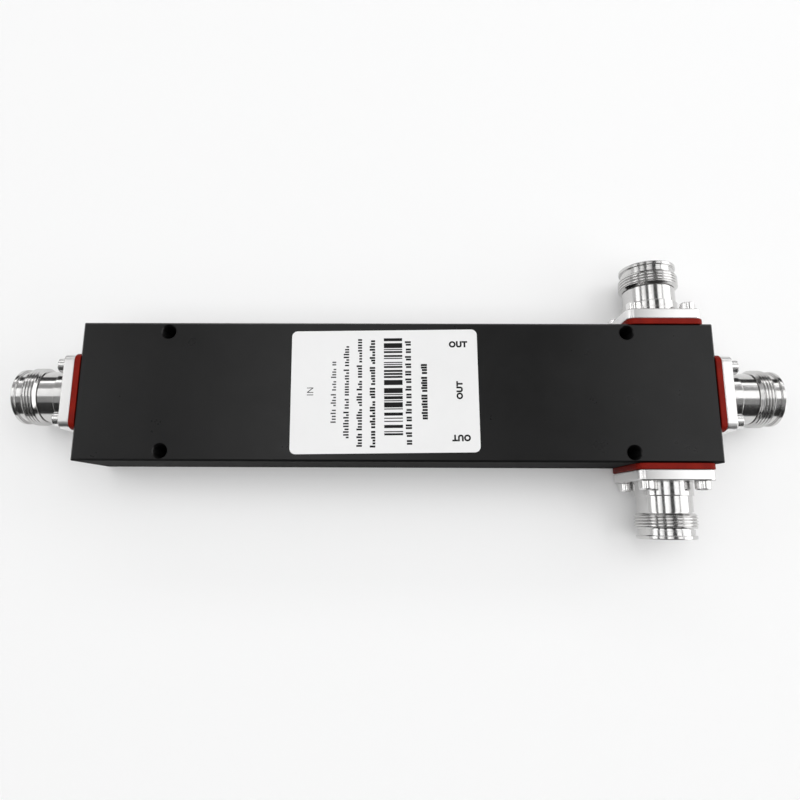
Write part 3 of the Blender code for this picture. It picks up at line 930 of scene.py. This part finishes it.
label = {
    "length": 0.0617,
    "width": 0.0412,
    "corner": 0.0019,
    "thickness": 0.00012,
    "edge": 0.00003,
    "tilt": 0.8,  # degrees
    "inkThickness": 0.00001,
    "tickPitch": 0.00092,
    "pitchSpread": (0.9, 1.1),
    "groupSize": (4, 10),  # ticks
    "groupGap": 0.0007,
    "boldness": 0.060,  # share of the type size that bold letters grow by on each side
    "letterSpace": 1.12,
    "mergeReach": 1e-7,
    "seed": 21,  # picks the ticks and the stripes
}
mixedTicks = (0.5, 0.75, 0.75, 1.0)  # heights of the ticks, as shares of the row's height
evenTicks = (0.85, 1.0)
printRows = (
    # middle across the label, start and end along the row, its height, width and heights of its ticks, ink
    {"across": -0.01684, "low": -0.0105, "high": 0.0099, "height": 0.0017, "stroke": 0.00046,
     "ticks": mixedTicks, "black": False},
    {"across": -0.01265, "low": -0.0156, "high": 0.0157, "height": 0.0018, "stroke": 0.00052,
     "ticks": mixedTicks, "black": True},
    {"across": -0.00834, "low": -0.0184, "high": 0.0183, "height": 0.0018, "stroke": 0.00059,
     "ticks": mixedTicks, "black": True},
    {"across": -0.00401, "low": -0.0187, "high": 0.0185, "height": 0.0018, "stroke": 0.00066,
     "ticks": mixedTicks, "black": True},
    {"across": 0.01302, "low": -0.0097, "high": 0.0093, "height": 0.0020, "stroke": 0.00070,
     "ticks": evenTicks, "black": True},
)
stripes = {
    "left": -0.0002,
    "right": 0.0059,
    "low": -0.0148,
    "high": 0.0178,
    "module": 0.00034,
    "widths": (1, 1, 1, 1, 2, 2, 3, 5),  # in modules
    "gaps": (1, 1, 2, 2, 3),
}
sparseRow = {"across": 0.0078, "low": -0.0176, "high": 0.0163, "height": 0.0020, "stroke": 0.00064,
             "ticks": evenTicks, "pitch": 0.00255, "apart": 0.00088}
portWords = (
    # middle, size before the turn, turn in degrees
    {"text": "IN", "x": -0.0245, "y": 0.0, "width": 0.0026, "height": 0.0021, "turn": 90, "black": False},
    {"text": "OUT", "x": 0.0245, "y": 0.0155, "width": 0.0061, "height": 0.0022, "turn": 0, "black": True},
    {"text": "OUT", "x": 0.0246, "y": -0.0001, "width": 0.0061, "height": 0.0021, "turn": 90,
     "black": True},
    {"text": "OUT", "x": 0.0248, "y": -0.0159, "width": 0.0060, "height": 0.0022, "turn": 180,
     "black": True},
)


def addInk(bm, x, y, width, height):
    middle = Matrix.Translation((x, y, label["inkThickness"] / 2))
    size = Matrix.Diagonal((width, height, label["inkThickness"], 1))
    bmesh.ops.create_cube(bm, size=1, matrix=middle @ size)


def addTick(bm, row, place, draw):
    # one plain stroke that stands on its row's foot line
    tall = row["height"] * draw.choice(row["ticks"])
    addInk(bm, row["across"] + (row["height"] - tall) / 2, place, tall, row["stroke"])


def addTickRow(bm, row, draw):
    # groups of ticks where a line of print would be
    place = row["low"] + row["stroke"] / 2
    left = draw.randint(*label["groupSize"])
    while place < row["high"]:
        if left == 0:
            left = draw.randint(*label["groupSize"])
            place += label["groupGap"]
            continue
        addTick(bm, row, place, draw)
        place += label["tickPitch"] * draw.uniform(*label["pitchSpread"])
        left -= 1


def addSparseRow(bm, draw):
    # bold pairs of ticks, widely spaced, beside the stripes
    place = sparseRow["low"]
    while place < sparseRow["high"]:
        addTick(bm, sparseRow, place, draw)
        addTick(bm, sparseRow, place + sparseRow["apart"], draw)
        place += sparseRow["pitch"]


def addStripes(bm, draw):
    # plain stripes of several widths, which code nothing
    place = stripes["low"]
    middle = (stripes["left"] + stripes["right"]) / 2
    while place < stripes["high"]:
        width = stripes["module"] * draw.choice(stripes["widths"])
        addInk(bm, middle, place + width / 2, stripes["right"] - stripes["left"], width)
        place += width + stripes["module"] * draw.choice(stripes["gaps"])


def addWord(bm, word):
    curve = bpy.data.curves.new("portWord", "FONT")
    curve.body = word["text"]
    curve.align_x = "CENTER"
    curve.align_y = "CENTER"
    curve.space_character = label["letterSpace"]
    curve.offset = label["boldness"] if word["black"] else 0.0
    curve.extrude = 0.5  # one unit thick, before it is scaled to the ink's thickness
    holder = bpy.data.objects.new("portWord", curve)
    bpy.context.collection.objects.link(holder)
    graph = bpy.context.evaluated_depsgraph_get()
    mesh = bpy.data.meshes.new_from_object(holder.evaluated_get(graph))
    bpy.data.objects.remove(holder, do_unlink=True)
    lows = [min(vert.co[axis] for vert in mesh.vertices) for axis in (0, 1)]
    highs = [max(vert.co[axis] for vert in mesh.vertices) for axis in (0, 1)]
    place = (Matrix.Translation((word["x"], word["y"], label["inkThickness"] / 2))
             @ Matrix.Rotation(math.radians(word["turn"]), 4, "Z")
             @ Matrix.Diagonal((word["width"] / (highs[0] - lows[0]), word["height"] / (highs[1] - lows[1]),
                                label["inkThickness"], 1))
             @ Matrix.Translation((-(highs[0] + lows[0]) / 2, -(highs[1] + lows[1]) / 2, 0)))
    mesh.transform(place)
    bm.from_mesh(mesh)
    bmesh.ops.remove_doubles(bm, verts=bm.verts, dist=label["mergeReach"])


def buildLabel():
    low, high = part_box("label")
    middle = (low + high) / 2
    place = Matrix.Translation((middle.x, middle.y, barHigh.z + seat)) @ \
        Matrix.Rotation(math.radians(label["tilt"]), 4, "Z")
    bm = bmesh.new()
    softPlate(bm, label["length"], label["width"], label["corner"], 0, label["thickness"], label["edge"],
              cornerSteps=10, edgeSteps=2)
    sheet = meshFrom(bm, "labelSheet", labelFilm, chamferedSharp)
    addPiece("label_sheet", sheet, place, "label_film", "label")
    draw = random.Random(label["seed"])
    blackBm = bmesh.new()
    greyBm = bmesh.new()
    for row in printRows:
        addTickRow(blackBm if row["black"] else greyBm, row, draw)
    addStripes(blackBm, draw)
    addSparseRow(blackBm, draw)
    for word in portWords:
        addWord(blackBm if word["black"] else greyBm, word)
    onTop = place @ Matrix.Translation((0, 0, label["thickness"] + seat / 4))
    blackPrint = meshFrom(blackBm, "labelPrintBlack", blackInk, chamferedSharp)
    greyPrint = meshFrom(greyBm, "labelPrintGrey", greyInk, chamferedSharp)
    addPiece("label_print_black", blackPrint, onTop, "label_film")
    addPiece("label_print_grey", greyPrint, onTop, "label_film")


buildLabel()
print("Label built")


# Studio

studio = {
    "floorRadius": 2.9,
    "wallHeight": 2.0,
    "bend": 0.3,
    "bendSteps": 8,
    "sides": 96,
    "mattRough": 0.9,
    "paleReach": 0.28,
    "farReach": 1.2,
    "floorTone": 0.86,
    "farTone": 0.05,
    "floorGlow": 0.10,
    "farGlow": 0.70,
    "highGlow": 0.45,
    "gapTone": 0.05,
    "distance": 2.5,
    "slices": 3,
}
# Dark cards that only the metal sees: direction in degrees round the part, span, distance and height
darkCards = (
    {"middle": 270, "span": 100, "distance": 1.0, "height": 1.1},
    {"middle": 90, "span": 100, "distance": 1.0, "height": 0.36},
)
cardTone = 0.03
# Soft panels on an arch over the part: start and end in degrees from straight up toward +X, and the
# light at the start and at the end
alongPanels = (
    (-74, -57, 1.8, 1.6),
    (-47, -29, 2.0, 1.2),
    (-17, 4, 2.2, 1.3),
    (21.5, 41, 1.7, 1.7),
)
alongReach = (-0.24, 1.05)  # where they start and end along Y
# The big soft box on the right, in the same way
sideBox = (45, 86, 1.7, 1.5)
sideReach = (-2.4, 2.6)
# The same toward +Y, for panels that run along X: dim fills and one thin bright strip
acrossPanels = (
    (-34, -8, 0.30),
    (26, 49, 0.35),
    (56, 66, 1.8),
)
acrossReach = (-1.9, 1.9)  # along X
# Soft light from overhead that lights every piece evenly and shows in no reflection
fill = {"size": 3.4, "light": 1.05}


def makeFloorMaterial():
    # pale floor near the part; camera and metal also see it glow, more farther off and less up the wall
    material = bpy.data.materials.new("studioFloor")
    material.use_nodes = True
    tree = material.node_tree
    shader = tree.nodes["Principled BSDF"]
    shader.inputs["Roughness"].default_value = studio["mattRough"]
    shader.inputs["Specular IOR Level"].default_value = 0.0
    place = addNode(tree, "TexCoord").outputs["Object"]
    split = addNode(tree, "SeparateXYZ", {"Vector": place})
    flat = addNode(tree, "CombineXYZ", {"X": split.outputs["X"], "Y": split.outputs["Y"]})
    reach = addNode(tree, "VectorMath", {0: flat.outputs["Vector"]}, operation="LENGTH")
    span = {"Value": reach.outputs["Value"], "From Min": studio["paleReach"],
            "From Max": studio["farReach"]}
    tone = addNode(tree, "MapRange", {**span, "To Min": studio["floorTone"], "To Max": studio["farTone"]},
                   interpolation_type="SMOOTHSTEP")
    tree.links.new(tone.outputs["Result"], shader.inputs["Base Color"])
    high = addNode(tree, "MapRange", {"Value": split.outputs["Z"], "From Max": studio["wallHeight"],
                                      "To Min": studio["farGlow"], "To Max": studio["highGlow"]})
    glow = addNode(tree, "MapRange", {**span, "To Min": studio["floorGlow"],
                                      "To Max": high.outputs["Result"]}, interpolation_type="SMOOTHSTEP")
    path = addNode(tree, "LightPath")
    first = addNode(tree, "Math", {0: path.outputs["Is Camera Ray"], 1: path.outputs["Is Glossy Ray"]},
                    operation="MAXIMUM")
    seen = addNode(tree, "Math", {0: first.outputs["Value"], 1: path.outputs["Is Transmission Ray"]},
                   operation="MAXIMUM")
    lift = addNode(tree, "Math", {0: seen.outputs["Value"], 1: glow.outputs["Result"]},
                   operation="MULTIPLY")
    shader.inputs["Emission Color"].default_value = (1, 1, 1, 1)
    tree.links.new(lift.outputs["Value"], shader.inputs["Emission Strength"])
    return material


def buildFloor():
    bend = studio["bend"]
    radius = studio["floorRadius"]
    path = [(0, 0), (radius - bend, 0)]
    for step in range(1, studio["bendSteps"] + 1):
        lean = math.pi / 2 * step / studio["bendSteps"]
        path.append((radius - bend + bend * math.sin(lean), bend * (1 - math.cos(lean))))
    path.append((radius, studio["wallHeight"]))
    bm = bmesh.new()
    lathe(bm, path, studio["sides"])
    mesh = meshFrom(bm, "studioFloor", makeFloorMaterial())
    floor = bpy.data.objects.new("studioFloor", mesh)
    bpy.context.collection.objects.link(floor)
    floor.location.z = barLow.z - seat


def addPanel(width, length, light, place):
    lamp = bpy.data.lights.new("softPanel", "AREA")
    lamp.shape = "RECTANGLE"
    lamp.size = width
    lamp.size_y = length
    lamp.energy = light * math.pi * width * length
    panel = bpy.data.objects.new("softPanel", lamp)
    bpy.context.collection.objects.link(panel)
    panel.matrix_world = place
    panel.visible_camera = False
    return panel


def addSlices(start, end, lightAtStart, lightAtEnd, reach):
    # one panel as a row of slices, so that its light can fall from one edge to the other
    slices = studio["slices"]
    step = (end - start) / slices
    for number in range(slices):
        light = lightAtStart + (lightAtEnd - lightAtStart) * number / (slices - 1)
        lean = Matrix.Rotation(math.radians(start + (number + 0.5) * step), 4, "Y")
        middle = Matrix.Translation((0, sum(reach) / 2, 0))
        up = Matrix.Translation((0, 0, studio["distance"]))
        addPanel(panelWidth(step), reach[1] - reach[0], light, middle @ lean @ up)


def panelWidth(angle):
    return 2 * studio["distance"] * math.tan(math.radians(angle) / 2)


def buildPanels():
    # bright strips with dark gaps, which the turned metal shows as streaks
    for panel in alongPanels:
        addSlices(*panel, alongReach)
    addSlices(*sideBox, sideReach)
    up = Matrix.Translation((0, 0, studio["distance"]))
    for start, end, light in acrossPanels:
        lean = Matrix.Rotation(-math.radians((start + end) / 2), 4, "X")
        addPanel(acrossReach[1] - acrossReach[0], panelWidth(end - start), light, lean @ up)
    panel = addPanel(fill["size"], fill["size"], fill["light"], up)
    panel.visible_glossy = False


def buildCards():
    # they give the turned metal its dark edges and stay out of the picture
    material = bpy.data.materials.new("darkCard")
    material.use_nodes = True
    shader = material.node_tree.nodes["Principled BSDF"]
    shader.inputs["Base Color"].default_value = (cardTone, cardTone, cardTone, 1.0)
    shader.inputs["Roughness"].default_value = studio["mattRough"]
    steps = 24
    for card in darkCards:
        bm = bmesh.new()
        before = None
        for step in range(steps + 1):
            turn = math.radians(card["middle"] + card["span"] * (step / steps - 0.5))
            x, y = card["distance"] * math.cos(turn), card["distance"] * math.sin(turn)
            edge = [bm.verts.new((x, y, height)) for height in (0, card["height"])]
            if before:
                bm.faces.new((before[0], edge[0], edge[1], before[1]))
            before = edge
        holder = bpy.data.objects.new("darkCard", meshFrom(bm, "darkCard", material))
        bpy.context.collection.objects.link(holder)
        holder.visible_camera = False
        holder.visible_diffuse = False
        holder.visible_shadow = False


def buildWorld():
    world = bpy.data.worlds.new("studioWorld")
    world.use_nodes = True
    background = world.node_tree.nodes["Background"]
    tone = studio["gapTone"]
    background.inputs["Color"].default_value = (tone, tone, tone, 1.0)
    background.inputs["Strength"].default_value = 1.0
    bpy.context.scene.world = world


camera = {
    "place": (0.002285, -0.039834, 0.217735),
    "turn": (10.852, 0.324, 0.243),
    "lens": 26.82,
    "sensor": 36.0,
    "clipStart": 0.01,
    "clipEnd": 20.0,
}


def buildCamera():
    data = bpy.data.cameras.new("photoCamera")
    data.lens = camera["lens"]
    data.sensor_width = camera["sensor"]
    data.clip_start = camera["clipStart"]
    data.clip_end = camera["clipEnd"]
    holder = bpy.data.objects.new("photoCamera", data)
    bpy.context.collection.objects.link(holder)
    holder.location = camera["place"]
    holder.rotation_euler = [math.radians(angle) for angle in camera["turn"]]
    bpy.context.scene.camera = holder


buildFloor()
buildPanels()
buildCards()
buildWorld()
buildCamera()
bpy.context.scene.view_settings.view_transform = "Standard"
print("Studio built")
